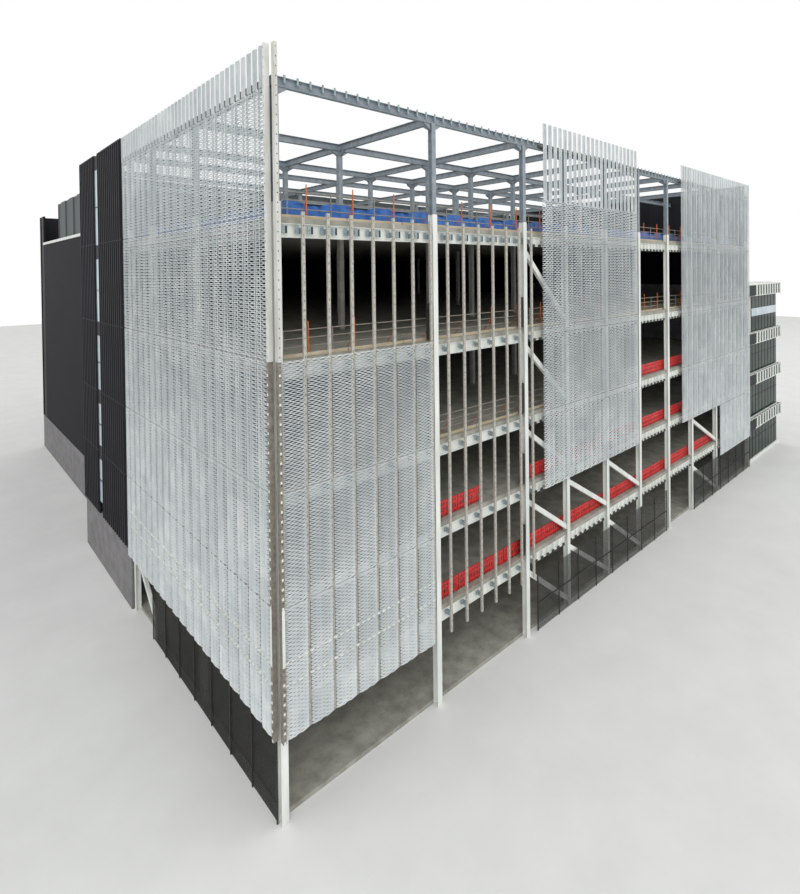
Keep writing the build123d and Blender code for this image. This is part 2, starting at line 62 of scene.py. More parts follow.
# Real sizes of the building in metres, measured from the near corner: u along the front, v along the side.
building = {
    "frontBays": [10.9, 9.4, 5.6, 6.5, 6.4, 6.6, 6.3, 7.5, 12.0],
    "sideBays": [9.8, 8.0, 5.4, 7.5, 7.6],
    "storeys": [5.8, 5.25, 5.2, 6.3, 7.05],
    "cornerLine": 0.54,
    "groundLevel": 0.25,
    "columnWide": 0.4,
    "frameHigh": 6.85,
    "jointDrops": [0.5, 0.1, 0.0, -0.1],
    "jointGap": 0.06,
    "sheetGap": 0.045,
    "leastRow": 0.5,
}


def runningTotal(start, steps):
    places = [start]
    for step in steps:
        places.append(places[-1] + step)
    return places


frontLines = runningTotal(building["cornerLine"], building["frontBays"])
sideLines = runningTotal(building["cornerLine"], building["sideBays"])
levels = runningTotal(building["groundLevel"], building["storeys"])
deckTop = levels[-1]
frameTop = deckTop + building["frameHigh"]
mainRight = frontLines[-1] + building["columnWide"] / 2
jointHeights = [level - drop for level, drop in zip(levels[2:], building["jointDrops"])]


# Real metres to a point of the scene.
def at(u, v, z):
    return Vector((cadLow.x + u * metre, cadLow.y + v * metre, z * metre))


def nodeSpan(node):
    low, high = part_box(node)
    return (Vector(low) - cadLow) / metre, (Vector(high) - cadLow) / metre


def deselectAll():
    bpy.ops.object.select_all(action="DESELECT")


def makeActive(thing):
    deselectAll()
    thing.select_set(True)
    bpy.context.view_layer.objects.active = thing


# sRGB hex to the linear colour that Blender's sockets take.
def paint(hexCode):
    parts = [int(hexCode[index:index + 2], 16) / 255 for index in (1, 3, 5)]
    linear = [part / 12.92 if part <= 0.04045 else ((part + 0.055) / 1.055) ** 2.4 for part in parts]
    return (*linear, 1.0)


# A node with its settings and links, in a material or the world. A setting is an attribute or a socket.
def addNode(owner, kind, settings=None, links=None):
    node = owner.node_tree.nodes.new(kind)
    for name, value in (settings or {}).items():
        if isinstance(name, str) and hasattr(node, name):
            setattr(node, name, value)
        else:
            node.inputs[name].default_value = value
    for name, source in (links or {}).items():
        owner.node_tree.links.new(source, node.inputs[name])
    return node


def startMaterial(name, baseHex, roughness, metallic=0.0):
    material = bpy.data.materials.new(name)
    material.use_nodes = True
    shader = material.node_tree.nodes["Principled BSDF"]
    shader.inputs["Base Color"].default_value = paint(baseHex)
    shader.inputs["Roughness"].default_value = roughness
    shader.inputs["Metallic"].default_value = metallic
    material.diffuse_color = paint(baseHex)
    return material, shader


# How the patches of every finish drift from dark to light.
patches = {"detail": 5.0, "roughness": 0.6, "darkEnd": 0.32, "lightEnd": 0.68, "relief": 0.4}


# Colour that drifts between two hex values over patches of a real size in millimetres, with roughness and
# bump to match. Grain and spangle finer than the render shows are drawn as coarse as they need to show.
def mottle(
    material, shader, lightHex, darkHex, patch, bump=0.0, roughLow=None, roughHigh=None, stretch=(1, 1, 1)
):
    links = material.node_tree.links
    place = addNode(material, "ShaderNodeTexCoord")
    spread = addNode(material, "ShaderNodeMapping", {"Scale": stretch}, {"Vector": place.outputs["Object"]})
    noise = addNode(
        material,
        "ShaderNodeTexNoise",
        {"Scale": 1 / (patch * millimetre), "Detail": patches["detail"], "Roughness": patches["roughness"]},
        {"Vector": spread.outputs["Vector"]},
    )
    ramp = addNode(material, "ShaderNodeValToRGB", None, {"Fac": noise.outputs["Fac"]})
    darkEnd, lightEnd = ramp.color_ramp.elements
    darkEnd.position = patches["darkEnd"]
    darkEnd.color = paint(darkHex)
    lightEnd.position = patches["lightEnd"]
    lightEnd.color = paint(lightHex)
    links.new(ramp.outputs["Color"], shader.inputs["Base Color"])
    if roughLow is not None:
        rough = addNode(
            material,
            "ShaderNodeMapRange",
            {"To Min": roughLow, "To Max": roughHigh},
            {"Value": noise.outputs["Fac"]},
        )
        links.new(rough.outputs["Result"], shader.inputs["Roughness"])
    if bump:
        relief = addNode(
            material,
            "ShaderNodeBump",
            {"Strength": patches["relief"], "Distance": bump * millimetre},
            {"Height": noise.outputs["Fac"]},
        )
        links.new(relief.outputs["Normal"], shader.inputs["Normal"])
    return place


# Mixes a darker colour into the base colour by a mask, for joints, threads and unlike sheets.
# A mix node of colours has its factor at input 0, its colours at 6 and 7, and its result at output 2.
def shadeBy(material, shader, mask, hexCode, amount):
    source = shader.inputs["Base Color"].links[0].from_socket
    strength = addNode(material, "ShaderNodeMath", {"operation": "MULTIPLY", 1: amount}, {0: mask})
    mix = addNode(
        material,
        "ShaderNodeMix",
        {"data_type": "RGBA", "blend_type": "MIX", 7: paint(hexCode)},
        {0: strength.outputs["Value"], 6: source},
    )
    material.node_tree.links.new(mix.outputs[2], shader.inputs["Base Color"])


# A mask that is 1 on thin lines a pitch apart along one axis, both in real metres.
def lineMask(material, place, axis, pitch, width):
    split = addNode(material, "ShaderNodeSeparateXYZ", None, {"Vector": place.outputs["Object"]})
    folded = {"operation": "PINGPONG", 1: pitch * metre / 2}
    cell = addNode(material, "ShaderNodeMath", folded, {0: split.outputs[axis]})
    narrow = {"operation": "LESS_THAN", 1: width * metre / 2}
    return addNode(material, "ShaderNodeMath", narrow, {0: cell.outputs["Value"]}).outputs["Value"]


# A finish of one base colour, given with its roughness and metallic share, that drifts in patches. The
# patches are given as mottle takes them, and the last values are for other sockets of the shader.
def makePlainFinish(name, base, drift, sockets):
    material, shader = startMaterial(name, *base)
    mottle(material, shader, *drift)
    for socket, value in sockets.items():
        shader.inputs[socket].default_value = value
    return material


plainFinishes = {
    # Cast concrete: matt, mottled by damp and dust, with faint trowel relief.
    "concrete": ("castConcrete", ("#9a988e", 0.85), ("#aaa89e", "#86857b", 900, 30, 0.75, 0.95), {}),
    # White paint on rolled steel: a satin coat with rain dirt that runs down in streaks.
    "white": (
        "whitePaintedSteel", ("#e6e9e4", 0.42), ("#eef1ec", "#d3d6d0", 700, 4, 0.35, 0.55, (1, 1, 0.2)), {}
    ),
    # Grey primer sprayed on steel: flat, a little blue, scuffed lighter.
    "primer": ("greyPrimedSteel", ("#87919a", 0.55), ("#949ea6", "#79838b", 500, 4, 0.45, 0.65), {}),
    # Fire-coated steel inside: beige grey and matt.
    "inner": ("coatedInnerSteel", ("#b4b2aa", 0.75), ("#bfbdb5", "#a3a199", 600, 8), {}),
    # Hot-dip galvanised rail: dull warm zinc with soft spangle.
    "zinc": ("galvanisedRail", ("#b8b5ac", 0.5, 0.2), ("#c6c3ba", "#a5a299", 160, 3, 0.42, 0.6), {}),
    # New zinc on the corner rails: near white where the rain washes it.
    "bright": (
        "brightZinc", ("#d6d7d3", 0.45, 0.15), ("#e2e3e0", "#c3c2bb", 600, 3, 0.4, 0.55, (1, 1, 0.25)), {}
    ),
    # Zinc-plated cleats: blue-grey and brighter than the primer.
    "cleat": ("galvanisedCleat", ("#8fa0a6", 0.45, 0.3), ("#a3b2b7", "#7c8d94", 150, 2, 0.38, 0.55), {}),
    # Coil-coated dark sheet: satin, near black with a violet cast, streaked by rain.
    "dark": (
        "darkCoatedSheet",
        ("#1c1c21", 0.5),
        ("#222227", "#151519", 1400, 4, 0.42, 0.6, (1, 1, 0.12)),
        {"Specular IOR Level": 0.16},
    ),
    # Coil-coated grey-green sheet on the plant screen.
    "screen": (
        "greenGreySheet", ("#394144", 0.5, 0.1), ("#424b4e", "#2f3639", 1400, 4, 0.42, 0.6, (1, 1, 0.12)), {}
    ),
    # Powder-coated black steel: matt with a fine grain.
    "black": ("blackCoatedSteel", ("#2b2b29", 0.6), ("#343431", "#222220", 300, 3), {}),
    # Clear float glass in the slot: its colour is a painted reflection of the pale sky over the glass's own
    # hint of green.
    "clear": (
        "glassPaintedSkyReflection", ("#a9bdc6", 0.08), ("#b4c8d0", "#93a9b4", 2500), {"IOR": 1.5, "Coat Weight": 0.4}
    ),
    # Tinted green glazing of the office: the green is the glass's own tint, and the darker rooms behind it
    # are painted shade in its colour.
    "tinted": (
        "tintedGlassPaintedRoomShade",
        ("#1e2d2a", 0.08),
        ("#36493f", "#101b19", 2600),
        {"IOR": 1.5, "Specular IOR Level": 0.06},
    ),
    # Zinc-plated scaffold tube, dulled by weather.
    "tube": ("scaffoldTube", ("#8d877d", 0.5, 0.3), ("#9c968b", "#78726a", 250, 2), {}),
    # Orange enamel on the guard rail posts.
    "orange": ("orangeEnamel", ("#cf6a2a", 0.45), ("#d9752f", "#b85a20", 300, 2), {}),
    # Sawn softwood: pale boards with grain along them.
    "timber": (
        "sawnSoftwood", ("#c6b79c", 0.8), ("#d2c5ac", "#ad9c7e", 200, 5, None, None, (0.15, 1, 1)), {}
    ),
    # Red powder coat on the edge barriers.
    "red": ("redPowderCoat", ("#cf1d1b", 0.42), ("#dc2926", "#b31412", 350, 2), {}),
}


# Mill-finish expanded aluminium: pale, satin, each sheet a little lighter or darker than the next.
def expandedAluminium(sheetWide, sheetHigh):
    material, shader = startMaterial("expandedAluminium", "#e7ebec", 0.45, 0.2)
    place = mottle(material, shader, "#f0f3f3", "#dde3e5", 900, 0, 0.38, 0.52)
    sheetScale = (1 / (sheetWide * metre), 1 / (sheetWide * metre), 1 / (sheetHigh * metre))
    cell = addNode(
        material, "ShaderNodeMapping", {"Scale": sheetScale}, {"Vector": place.outputs["Object"]}
    )
    whole = addNode(material, "ShaderNodeVectorMath", {"operation": "FLOOR"}, {0: cell.outputs["Vector"]})
    sheets = addNode(
        material, "ShaderNodeTexWhiteNoise", {"noise_dimensions": "3D"}, {"Vector": whole.outputs["Vector"]}
    )
    shadeBy(material, shader, sheets.outputs["Value"], "#c0c7ca", 0.3)
    return material


# Fibre cement panels of 3 by 1.25 m: flat grey with open joints 30 mm wide.
def fibreCementPanel():
    material, shader = startMaterial("fibreCementPanel", "#7d7b7d", 0.8)
    place = mottle(material, shader, "#868486", "#727072", 1100, 6)
    for axis, pitch in (("X", 3.0), ("Y", 3.0), ("Z", 1.25)):
        shadeBy(material, shader, lineMask(material, place, axis, pitch, 0.03), "#4b4a4c", 0.8)
    return material


# Blue woven debris netting: matt, with a soft sheen. Its threads are drawn 60 mm wide, to show at all.
def blueWovenNet():
    material, shader = startMaterial("blueWovenNet", "#2f6fc4", 0.8)
    place = mottle(material, shader, "#4585d6", "#2459a6", 500)
    threads = {"Scale": 1 / (60 * millimetre)}
    weave = addNode(material, "ShaderNodeTexChecker", threads, {"Vector": place.outputs["Object"]})
    shadeBy(material, shader, weave.outputs["Fac"], "#1d4f97", 0.35)
    shader.inputs["Sheen Weight"].default_value = 0.3
    return material


finishes = {finish: makePlainFinish(*row) for finish, row in plainFinishes.items()}
finishes.update({"mesh": expandedAluminium(1.5, 3.0), "plinth": fibreCementPanel(), "net": blueWovenNet()})
nodeFinishes = {
    "concrete": ["ground_slab", "floor_1", "floor_2", "floor_3", "floor_4", "roof_deck", "office_columns"],
    "white": ["front_columns", "side_columns", "front_edge_beams", "side_edge_beams", "front_braces",
              "side_brace", "copings", "office_floors", "office_fins"],
    "primer": ["roof_frame_columns", "roof_long_beams", "roof_cross_beams"],
    "cleat": ["rail_brackets"],
    "inner": ["inner_columns"],
    "zinc": ["front_rails"],
    "bright": ["corner_rails"],
    "mesh": ["side_mesh", "bay_mesh", "centre_mesh", "right_mesh", "side_strips", "centre_strips"],
    "dark": ["tall_dark_cladding", "rear_side_wall", "end_return_wall", "back_wall", "right_rear_wall",
             "tall_return_wall", "right_upper_wall"],
    "screen": ["plant_screen"],
    "plinth": ["side_plinth", "rear_plinth", "party_wall"],
    "black": ["side_black_mesh", "front_black_mesh"],
    "clear": ["slot_glass"],
    "tinted": ["office_glass"],
    "tube": ["guard_rails", "mesh_carriers"],
    "timber": ["kickboards"],
    "red": ["red_barriers"],
    "net": ["blue_netting"],
}
for finish, nodes in nodeFinishes.items():
    for node in nodes:
        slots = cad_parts[node].data.materials
        slots.clear()
        slots.append(finishes[finish])
print("finishes on", sum(len(nodes) for nodes in nodeFinishes.values()), "nodes")


# Small helpers for modelling by operators.
meshParts = {"VERT": "vertices", "EDGE": "edges", "FACE": "polygons"}


# Selects the wanted parts of one kind, and no others, and stays in edit mode.
def selectParts(thing, kind, wanted):
    makeActive(thing)
    bpy.ops.object.mode_set(mode="EDIT")
    bpy.ops.mesh.select_mode(type=kind)
    bpy.ops.mesh.select_all(action="DESELECT")
    bpy.ops.object.mode_set(mode="OBJECT")
    for part in getattr(thing.data, meshParts[kind]):
        part.select = wanted(part)
    bpy.ops.object.mode_set(mode="EDIT")


def moveVertices(thing, wanted, offset):
    selectParts(thing, "VERT", lambda vertex: wanted(vertex.co))
    bpy.ops.transform.translate(value=offset)
    bpy.ops.object.mode_set(mode="OBJECT")


def deleteFaces(thing, wanted):
    selectParts(thing, "FACE", lambda face: wanted(face.center))
    bpy.ops.mesh.delete(type="FACE")
    bpy.ops.object.mode_set(mode="OBJECT")


def extrudeEdges(thing, wanted, offset):
    selectParts(thing, "EDGE", lambda edge: all(wanted(thing.data.vertices[end].co) for end in edge.vertices))
    bpy.ops.mesh.extrude_region_move(TRANSFORM_OT_translate={"value": offset})
    bpy.ops.object.mode_set(mode="OBJECT")


def applyModifier(thing, kind, **settings):
    makeActive(thing)
    bpy.ops.object.modifier_add(type=kind)
    modifier = thing.modifiers[-1]
    for name, value in settings.items():
        setattr(modifier, name, value)
    bpy.ops.object.modifier_apply(modifier=modifier.name)


def repeat(thing, count, offset, merge=False):
    if count > 1:
        applyModifier(
            thing,
            "ARRAY",
            count=count,
            use_relative_offset=False,
            use_constant_offset=True,
            constant_offset_displace=offset,
            use_merge_vertices=merge,
            merge_threshold=1e-6,
        )


def settle(thing, place=(0, 0, 0), turn=0.0):
    makeActive(thing)
    thing.location = place
    thing.rotation_euler = (0, 0, turn)
    bpy.ops.object.transform_apply(location=True, rotation=True, scale=True)


def joinAll(things, name):
    deselectAll()
    for thing in things:
        thing.select_set(True)
    bpy.context.view_layer.objects.active = things[0]
    if len(things) > 1:
        bpy.ops.object.join()
    joined = bpy.context.view_layer.objects.active
    joined.name = name
    joined.data.name = name
    return joined


# A piece gets its name, its finish and the body it rides on, and the CAD parts it replaces are hidden.
def finishPiece(things, name, finish, replaced=()):
    piece = joinAll(things, name)
    piece.data.materials.clear()
    piece.data.materials.append(finishes[finish])
    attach(piece, "root")
    if replaced:
        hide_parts(*replaced)
    return piece


directions = {"front": (1, 0, 0), "side": (0, 1, 0), "up": (0, 0, 1)}


# A bar on the front or the side, from its stretch along that face, its depth behind the face and its heights,
# and as many copies as asked at a pitch along the face or upwards, all in real metres.
def addBar(face, stretch, depth, heights, pitch=0.0, count=1, along=None):
    u, v = (stretch, depth) if face == "front" else (depth, stretch)
    low, high = (at(*corner) for corner in zip(u, v, heights))
    bpy.ops.mesh.primitive_cube_add(size=1, location=(low + high) / 2, scale=high - low)
    bar = bpy.context.object
    bpy.ops.object.transform_apply(location=True, rotation=True, scale=True)
    repeat(bar, count, tuple(share * pitch * metre for share in directions[along or face]))
    return bar


# What is modelled along X is set on the front from its start, or turned onto the side from its end.
def setOnFace(thing, face, start, end, foot, line=0.0):
    if face == "front":
        settle(thing, at(start, line, foot))
    else:
        settle(thing, at(line, end, foot), -math.pi / 2)


# A flat upright grid in the XZ plane from its lower left corner, sizes in real metres.
def addUprightGrid(wide, high, columns, rows):
    bpy.ops.mesh.primitive_grid_add(
        x_subdivisions=columns, y_subdivisions=rows, size=1, rotation=(math.pi / 2, 0, 0)
    )
    grid = bpy.context.object
    grid.scale = (wide * metre, high * metre, 1)
    grid.location = (wide * metre / 2, 0, high * metre / 2)
    bpy.ops.object.transform_apply(location=True, rotation=True, scale=True)
    return grid


# Expanded sheets: zigzag strands with a ridge along them, so their long low holes close from above and below.
# The real cells are about 0.38 by 0.11 m. Here they are larger, as coarse as they need to show.
meshSheets = {
    "cellWide": 0.44,
    "cellHigh": 0.17,
    "strandHigh": 0.05,
    "strandDeep": 0.085,
    "foldDeep": 0.08,
    "midFold": 0.03,
    "edgeHigh": 0.02,
    "margins": (0.0, 0.5, 1.0),
    "marginWide": 0.06,
    "marginProud": 0.002,
    "seam": 0.03,
}
baySheets = {
    **meshSheets,
    "cellHigh": 0.19,
    "strandHigh": 0.053,
    "strandDeep": 0.075,
    "margins": (),
    "seam": 0.17,
}
centreSheets = {
    **meshSheets,
    "cellWide": 0.475,
    "cellHigh": 0.28,
    "strandHigh": 0.073,
    "strandDeep": 0.11,
    "margins": (),
}
sideSheets = {
    **meshSheets,
    "cellWide": 0.58,
    "cellHigh": 0.22,
    "strandHigh": 0.061,
    "strandDeep": 0.1,
    "foldDeep": 0.12,
    "midFold": 0.05,
    "seam": 0.1,
}
stripSheets = {
    **meshSheets,
    "cellWide": 0.45,
    "cellHigh": 0.108,
    "strandDeep": 0.06,
    "midFold": 0.0,
    "margins": (0.0, 1.0),
}


def addStrand(spec, wide, cells, cellHigh, raisedParity):
    strand = addUprightGrid(wide, spec["strandHigh"], 2 * cells, 2)
    step = wide * metre / (2 * cells)
    middle = spec["strandHigh"] * metre / 2
    rise = (cellHigh / 2 - spec["strandHigh"]) * metre
    moveVertices(strand, lambda p: abs(p.z - middle) > middle / 2, (0, spec["strandDeep"] * metre, 0))
    moveVertices(strand, lambda p: round(p.x / step) % 2 == raisedParity, (0, 0, rise))
    return strand


# One sheet: pairs of mirrored strands, plain edges and margins, and folds back at its sides.
def makeSheet(spec, wide, high):
    cells = round(wide / spec["cellWide"])
    clear = high - 2 * spec["edgeHigh"]
    rows = round(clear / spec["cellHigh"])
    cellHigh = clear / rows
    lower = addStrand(spec, wide, cells, cellHigh, 1)
    upper = addStrand(spec, wide, cells, cellHigh, 0)
    settle(upper, (0, 0, cellHigh / 2 * metre))
    strands = joinAll([lower, upper], "strands")
    repeat(strands, rows, (0, 0, cellHigh * metre))
    settle(strands, (0, 0, spec["edgeHigh"] * metre))
    edge = addUprightGrid(wide, spec["edgeHigh"], 2 * cells, 1)
    settle(edge, (0, spec["strandDeep"] * metre, 0))
    repeat(edge, 2, (0, 0, (high - spec["edgeHigh"]) * metre))
    sheet = joinAll([strands, edge], "sheet")
    step = wide * metre / (2 * cells)
    moveVertices(sheet, lambda p: round(p.x / step) in (0, 2 * cells), (0, spec["foldDeep"] * metre, 0))
    moveVertices(sheet, lambda p: round(p.x / step) == cells, (0, spec["midFold"] * metre, 0))
    parts = [sheet]
    for share in spec["margins"]:
        margin = addUprightGrid(spec["marginWide"], high, 1, 1)
        deep = (spec["midFold"] if share == 0.5 else spec["foldDeep"]) - spec["marginProud"]
        settle(margin, ((wide - spec["marginWide"]) * share * metre, deep * metre, 0))
        parts.append(margin)
    return joinAll(parts, "sheet")


# Sheets side by side from a start, one row for each pair of heights, on the front or on the side.
def hangSheets(spec, pitch, count, heights, start, face):
    rows = []
    seam = spec["seam"]
    for low, high in heights:
        sheet = makeSheet(spec, pitch - seam, high - low)
        repeat(sheet, count, (pitch * metre, 0, 0))
        setOnFace(sheet, face, start + seam / 2, start + pitch * count - seam / 2, low)
        rows.append(sheet)
    return rows


# Rows between a foot, a top and the joints between them, apart from joints that would leave a sliver.
def rowHeights(foot, top, joints):
    least = building["leastRow"]
    stops = [foot] + [joint for joint in joints if foot + least < joint < top - least] + [top]
    gap = building["sheetGap"] / 2
    return [(low + gap, high - gap) for low, high in zip(stops[:-1], stops[1:])]


# Modules are sheets side by side. The bare rails stand at a pitch of their own.
hanging = {
    "sideModules": 19,
    "bayModules": 6,
    "centreModules": 11,
    "rightModules": 16,
    "rightLowModules": 8,
    "lowerRows": 3,
    "railPitch": 1.5,
    "firstRail": 1.9,
}
sideLow, sideHigh = nodeSpan("side_mesh")
bayLow, bayHigh = nodeSpan("bay_mesh")
centreLow, centreHigh = nodeSpan("centre_mesh")
rightLow, rightHigh = nodeSpan("right_mesh")
gapHalf = building["jointGap"] / 2
meshFoot = sideLow.z - gapHalf
upperFoot = centreLow.z - gapHalf
lowerRows = hanging["lowerRows"]
railPitch = hanging["railPitch"]
firstRail = hanging["firstRail"]

sideModules = hanging["sideModules"]
sidePitch = (sideHigh.y - sideLow.y) / sideModules
sideRows = rowHeights(meshFoot, sideHigh.z + gapHalf, jointHeights)
sideHung = hangSheets(sideSheets, sidePitch, sideModules, sideRows, sideLow.y, "side")
finishPiece(sideHung[:lowerRows], "side_mesh_lower_sheets", "mesh", ["side_mesh"])
finishPiece(sideHung[lowerRows:], "side_mesh_upper_sheets", "mesh")

bayRows = rowHeights(meshFoot, bayHigh.z + gapHalf, jointHeights)
bayHung = hangSheets(baySheets, railPitch, hanging["bayModules"], bayRows, firstRail, "front")
bayHung += hangSheets(baySheets, firstRail - bayLow.x, 1, bayRows, bayLow.x, "front")
finishPiece(bayHung, "bay_mesh_sheets", "mesh", ["bay_mesh"])

centreModules = hanging["centreModules"]
panelPitch = (centreHigh.x - centreLow.x) / centreModules
centreRows = rowHeights(upperFoot, centreHigh.z + gapHalf, jointHeights[1:])
centreHung = hangSheets(centreSheets, panelPitch, centreModules, centreRows, centreLow.x, "front")
finishPiece(centreHung, "centre_mesh_sheets", "mesh", ["centre_mesh"])

rightRows = rowHeights(upperFoot, rightHigh.z + gapHalf, jointHeights[1:])
rightLowRows = rowHeights(meshFoot, upperFoot, [])
rightLowStart = rightHigh.x - hanging["rightLowModules"] * panelPitch
rightHung = hangSheets(
    meshSheets, panelPitch, hanging["rightLowModules"], rightLowRows, rightLowStart, "front"
)
rightHung += hangSheets(meshSheets, panelPitch, hanging["rightModules"], rightRows, rightLow.x, "front")
finishPiece(rightHung[:lowerRows], "right_mesh_lower_sheets", "mesh", ["right_mesh"])
finishPiece(rightHung[lowerRows:], "right_mesh_upper_sheets", "mesh")

# Bright clips pin the lapped sheets along two lines below the lowest joint.
clips = {"heights": (8.1, 7.0), "wide": 0.2, "high": 0.07, "depth": (-0.01, 0.1), "pitch": 0.36}
clipRows = []
for foot in clips["heights"]:
    for face, start, end in (("front", bayLow.x, bayHigh.x), ("side", sideLow.y, sideHigh.y)):
        stretch = (start, start + clips["wide"])
        count = int((end - start) / clips["pitch"])
        heights = (foot, foot + clips["high"])
        clipRows.append(addBar(face, stretch, clips["depth"], heights, clips["pitch"], count))
finishPiece(clipRows, "sheet_clips", "white")
print("mesh sheets hung")


# Free strips: narrow folded sheets with plain edges that stand up past the mesh.
def hangStrips(spec, node, face, count):
    low, high = nodeSpan(node)
    start, end = (low.x, high.x) if face == "front" else (low.y, high.y)
    wide = spec["cellWide"]
    strip = makeSheet(spec, wide, high.z - low.z)
    repeat(strip, count, ((end - start - wide) / (count - 1) * metre, 0, 0))
    setOnFace(strip, face, start, end, low.z)
    return finishPiece([strip], node + "_folded", "mesh", [node])


hangStrips(stripSheets, "side_strips", "side", 2 * sideModules)
hangStrips(stripSheets, "centre_strips", "front", 2 * centreModules)

# Channel rails with a square hole in the web at each unit of their length.
rails = {"wide": 0.17, "deep": 0.12, "unit": 0.47, "hole": 0.07, "lip": 0.03}
cornerRails = {**rails, "wide": 0.16, "deep": 0.28}


def makeRail(spec, tall):
    units = round(tall / spec["unit"])
    unit = tall / units
    web = addUprightGrid(spec["wide"], unit, 3, 3)
    third = unit * metre / 3
    rise = (unit / 2 - spec["hole"] / 2 - unit / 3) * metre
    moveVertices(web, lambda p: abs(p.z - third) < tiny, (0, 0, rise))
    moveVertices(web, lambda p: abs(p.z - 2 * third) < tiny, (0, 0, -rise))
    centre = Vector((spec["wide"] * metre / 2, 0, unit * metre / 2))
    deleteFaces(web, lambda p: (p - centre).length < spec["hole"] * metre / 4)
    right = spec["wide"] * metre
    deep = spec["deep"] * metre
    lip = spec["lip"] * metre
    extrudeEdges(web, lambda p: p.x < tiny, (0, deep, 0))
    extrudeEdges(web, lambda p: p.x < tiny and p.y > tiny, (lip, 0, 0))
    extrudeEdges(web, lambda p: p.x > right - tiny and p.y < tiny, (0, deep, 0))
    extrudeEdges(web, lambda p: p.x > right - tiny and p.y > tiny, (-lip, 0, 0))
    repeat(web, units, (0, 0, unit * metre), True)
    return web


railLow, railHigh = nodeSpan("front_rails")
railCount = round((railHigh.x - railLow.x - rails["wide"]) / railPitch) + 1
bareRail = makeRail(rails, railHigh.z - railLow.z)
repeat(bareRail, railCount, (railPitch * metre, 0, 0))
settle(bareRail, at(railLow.x, railLow.y, railLow.z))
finishPiece([bareRail], "front_rails_punched", "zinc", ["front_rails"])

# The corner rails are dull zinc below the fourth floor and washed bright above it.
cornerLow, cornerHigh = nodeSpan("corner_rails")
cornerSplit = jointHeights[2]
cornerLengths = {
    "lower": (cornerLow.z, cornerSplit, "tube", ["corner_rails"]),
    "upper": (cornerSplit, cornerHigh.z, "bright", []),
}
for part, (foot, top, finish, replaced) in cornerLengths.items():
    cornerPair = []
    for face, end in (("front", cornerHigh.x), ("side", cornerHigh.y)):
        rail = makeRail(cornerRails, top - foot)
        setOnFace(rail, face, end - cornerRails["wide"], end, foot)
        cornerPair.append(rail)
    finishPiece(cornerPair, "corner_rails_" + part, finish, replaced)

# White tabs fill the units of the dull lengths, apart from one stretch with a plain cover.
tab = {"near": 0.04, "far": 0.14, "depth": (-0.015, 0.02), "foot": 0.02, "top": 0.14}
cover = {"wide": 0.16, "depth": (-0.012, 0.02), "heights": (8.0, 10.8)}
tabs = []
for face, end in (("front", cornerHigh.x), ("side", cornerHigh.y)):
    stretch = (end - tab["far"], end - tab["near"])
    for foot, top in ((cornerLow.z, cover["heights"][0]), (cover["heights"][1], cornerSplit)):
        heights = (foot + tab["foot"], foot + tab["top"])
        count = int((top - foot) / cornerRails["unit"])
        tabs.append(addBar(face, stretch, tab["depth"], heights, cornerRails["unit"], count, "up"))
    tabs.append(addBar(face, (end - cover["wide"], end), cover["depth"], cover["heights"]))
finishPiece(tabs, "corner_rail_tabs", "white")
print("rails punched")

# Stiffeners between the flanges of the white edge beams, where no rail passes.
beamLow, beamHigh = nodeSpan("front_edge_beams")
beams = {"drop": 0.3, "deep": 0.7, "flange": 0.03}
stiffener = {"pitch": 0.75, "thick": 0.03, "clear": 0.3}
stiffenerPitch = stiffener["pitch"]
plainBays = list(zip(frontLines[:-1], frontLines[1:]))[2:]  # the bays past the bare rails
stiffeners = []
for level in levels[1:]:
    beamTop = level - beams["drop"]
    heights = (beamTop - beams["deep"] + beams["flange"], beamTop - beams["flange"])
    for left, right in plainBays:
        clear = right - left - building["columnWide"]
        count = int((clear - stiffener["clear"]) / stiffenerPitch) + 1
        start = left + building["columnWide"] / 2 + (clear - (count - 1) * stiffenerPitch) / 2
        stretch = (start, start + stiffener["thick"])
        depth = (beamLow.y, (beamLow.y + beamHigh.y) / 2)
        stiffeners.append(addBar("front", stretch, depth, heights, stiffenerPitch, count))
finishPiece(stiffeners, "beam_stiffeners", "white")

# Dark stub cleats along the foot of the same beams wait for the rails of the next sheets.
stub = {"inset": 0.35, "wide": 0.27, "line": 0.42, "drop": 1.03, "high": 0.2, "clear": 0.8}
stubs = []
for level in levels[1:]:
    heights = (level - stub["drop"], level - stub["drop"] + stub["high"])
    for left, right in plainBays:
        start = left + stub["inset"]
        stretch = (start, start + stub["wide"])
        count = int((right - left - stub["clear"]) / stiffenerPitch) + 1
        stubs.append(addBar("front", stretch, (stub["line"], beamLow.y), heights, stiffenerPitch, count))
finishPiece(stubs, "beam_stub_cleats", "black")

# Zinc cleats: one left of each rail, one half way between at the deck with a black bar beside it as painted
# shade of a slot, and angle brackets in a row on the roof beam.
cleat = {"depth": (0.44, 0.48), "drop": 0.42, "high": 0.24, "deckHigh": 0.38, "far": 0.23, "near": 0.02}
deckCleat = {"lead": 1.0, "wide": 0.2}
# A black bar where the slot beside the deck cleat shows only shade: painted shade.
deckSlotShade = {"lead": 0.79, "wide": 0.11}
railLeft = firstRail - rails["wide"] / 2
cleats = []
for level in levels[1:]:
    top = level - cleat["drop"]
    heights = (top - cleat["deckHigh" if level == deckTop else "high"], top)
    stretch = (railLeft - cleat["far"], railLeft - cleat["near"])
    cleats.append(addBar("front", stretch, cleat["depth"], heights, railPitch, railCount))
deckPieces = []
for spec in (deckCleat, deckSlotShade):
    stretch = (railLeft - spec["lead"], railLeft - spec["lead"] + spec["wide"])
    deckPieces.append(addBar("front", stretch, cleat["depth"], heights, railPitch, railCount))
roofLow, roofHigh = nodeSpan("roof_long_beams")
roofBracket = {
    "plate": ((1.0, 1.11), (0.35, 0.39), (36.4, 36.8)),
    "web": ((1.0, 1.02), (0.35, 0.5), (36.4, 36.66)),
    "clear": 1.0,
}
